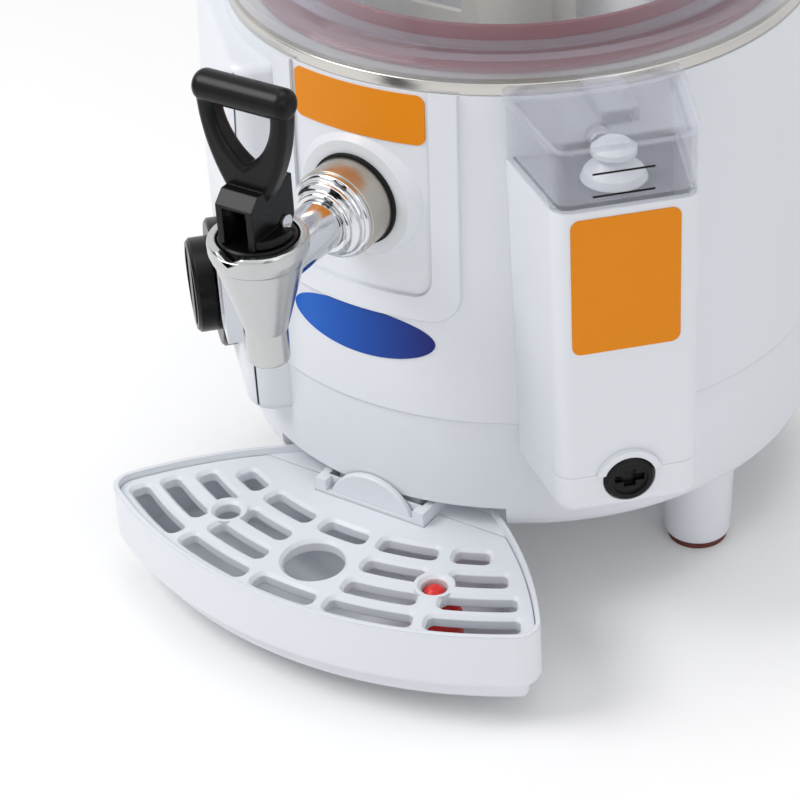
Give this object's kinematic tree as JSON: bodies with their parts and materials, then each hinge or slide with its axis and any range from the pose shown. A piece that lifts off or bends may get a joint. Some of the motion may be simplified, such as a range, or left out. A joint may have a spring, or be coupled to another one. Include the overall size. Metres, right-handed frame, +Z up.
{
  "type": "hot drink dispenser",
  "caption": "Round countertop hot chocolate dispenser with lever tap, corner water box, control box, slotted drip tray, clear bowl and stirrer.",
  "frame": {"origin": "on the axis of the round body, on the surface that the foot pads stand on", "axes": "+Z up, -Y out of the front where the tap is, +X to the right of someone facing the front"},
  "size_m": [0.2878, 0.3767, 0.461],
  "materials": {
    "white_plastic": "smooth white moulded plastic",
    "clear_plastic": "clear moulded plastic",
    "black_plastic": "black moulded plastic",
    "chromed_metal": "polished chrome plate",
    "brushed_steel": "turned and brushed steel",
    "sheet_steel": "plain stainless sheet",
    "zinc_steel": "zinc plated steel",
    "black_rubber": "black rubber",
    "red_silicone": "dark red silicone",
    "pad_rubber": "dark red brown rubber",
    "red_plastic": "red moulded plastic",
    "orange_film": "printed orange film, bare",
    "blue_film": "printed blue film, bare",
    "lamp_lens": "amber lens",
    "brass": "turned brass",
    "nylon": "natural nylon",
    "motor_paint": "dark painted steel"
  },
  "bodies": {
    "machine": {"upper_shell": "white_plastic", "lower_shell": "white_plastic", "shell_screws": "zinc_steel", "steel_trim_ring": "brushed_steel", "base_plate": "zinc_steel", "boiler": "sheet_steel", "product_pot": "sheet_steel", "heating_element": "sheet_steel", "vessel_seals": "black_rubber", "overheat_cutout": "black_plastic", "bowl_seal": "red_silicone", "gearbox_case": "zinc_steel", "gearbox_cover": "zinc_steel", "shaft_bushes": "brass", "motor_stand": "zinc_steel", "motor": "motor_paint", "tap_body": "chromed_metal", "tap_gasket": "black_rubber", "tap_ferrule": "brushed_steel", "tap_collar": "chromed_metal", "tap_nut": "brass", "tap_bonnet": "black_plastic", "lever_pin": "chromed_metal", "plunger_spring": "zinc_steel", "tray_rail": "white_plastic", "window_tank": "clear_plastic", "level_sensor_base": "white_plastic", "drain_seal": "black_rubber", "drain_pipe": "sheet_steel", "fill_pipe": "sheet_steel", "dial_plate": "black_plastic", "thermostat": "nylon", "switch_frame": "white_plastic", "pilot_lamps": "lamp_lens", "label_plates": "orange_film", "front_badge": "blue_film", "cord_gland": "black_plastic", "terminal_block": "nylon", "feet": "white_plastic", "foot_pads": "pad_rubber"},
    "lever": {"tap_lever": "black_plastic"},
    "plunger": {"plunger_stem": "sheet_steel", "plunger_seal": "black_rubber"},
    "tray": {"drip_tray": "white_plastic", "tray_tongue": "white_plastic"},
    "grille": {"drip_grille": "white_plastic"},
    "tray_level": {"tray_float": "red_plastic"},
    "knob": {"thermostat_knob": "black_plastic"},
    "rocker": {"switch_rocker": "black_plastic"},
    "bowl": {"bowl": "clear_plastic"},
    "lid": {"bowl_lid": "white_plastic", "lid_knob": "black_plastic"},
    "agitator": {"drive_shaft": "sheet_steel", "output_gear": "nylon", "agitator_hub": "nylon", "agitator_blades": "nylon"},
    "pinion": {"motor_pinion": "brass"},
    "tank_lid": {"water_lid": "clear_plastic"},
    "level": {"level_float": "white_plastic"},
    "plug": {"drain_plug": "black_plastic"}
  },
  "joints": [
    {"name": "lever_hinge", "type": "hinge", "parent": "machine", "child": "lever", "pos_m": [0, -0.1993, 0.231], "axis": [-1, 0, 0], "range_deg": [0, 25], "stiffness_Nm_per_rad": 0.6, "springref_deg": -14.32},
    {"name": "plunger_slide", "type": "slide", "parent": "machine", "child": "plunger", "axis": [0, 0, 1], "range_m": [0, 0.0035], "deforming": ["plunger_spring"]},
    {"name": "tray_slide", "type": "slide", "parent": "machine", "child": "tray", "axis": [0, -1, 0], "range_m": [0, 0.1]},
    {"name": "grille_lift", "type": "slide", "parent": "tray", "child": "grille", "axis": [0, 0, 1], "range_m": [0, 0.009]},
    {"name": "tray_float_rise", "type": "slide", "parent": "tray", "child": "tray_level", "axis": [0, 0, 1], "range_m": [0, 0.008]},
    {"name": "thermostat_turn", "type": "hinge", "parent": "machine", "child": "knob", "pos_m": [-0.11314, -0.11314, 0.119], "axis": [-0.7071, -0.7071, 0], "range_deg": [0, 270]},
    {"name": "switch_rock", "type": "hinge", "parent": "machine", "child": "rocker", "pos_m": [-0.07333, -0.13555, 0.1408], "axis": [0.7071, -0.7071, 0], "range_deg": [0, 10]},
    {"name": "bowl_lift", "type": "slide", "parent": "machine", "child": "bowl", "axis": [0, 0, 1], "range_m": [0, 0.16]},
    {"name": "lid_lift", "type": "slide", "parent": "bowl", "child": "lid", "axis": [0, 0, 1], "range_m": [0, 0.1]},
    {"name": "agitator_spin", "type": "hinge", "parent": "machine", "child": "agitator", "pos_m": [0, 0, 0.1], "axis": [0, 0, 1], "continuous": true},
    {"name": "motor_spin", "type": "hinge", "parent": "machine", "child": "pinion", "pos_m": [0, 0.036, 0.1], "axis": [0, 0, 1], "continuous": true},
    {"name": "tank_lid_lift", "type": "slide", "parent": "machine", "child": "tank_lid", "axis": [0, 0, 1], "range_m": [0, 0.06]},
    {"name": "level_float_rise", "type": "slide", "parent": "machine", "child": "level", "axis": [0, 0, 1], "range_m": [0, 0.003]},
    {"name": "drain_plug_turn", "type": "hinge", "parent": "machine", "child": "plug", "pos_m": [0.12374, -0.12374, 0.1004], "axis": [0.7071, -0.7071, 0], "range_deg": [0, 90]}
  ],
  "couplings": [
    {"joint": "plunger_slide", "follows": "lever_hinge", "m_per_rad": 0.0073},
    {"joint": "motor_spin", "follows": "agitator_spin", "ratio": -5}
  ]
}
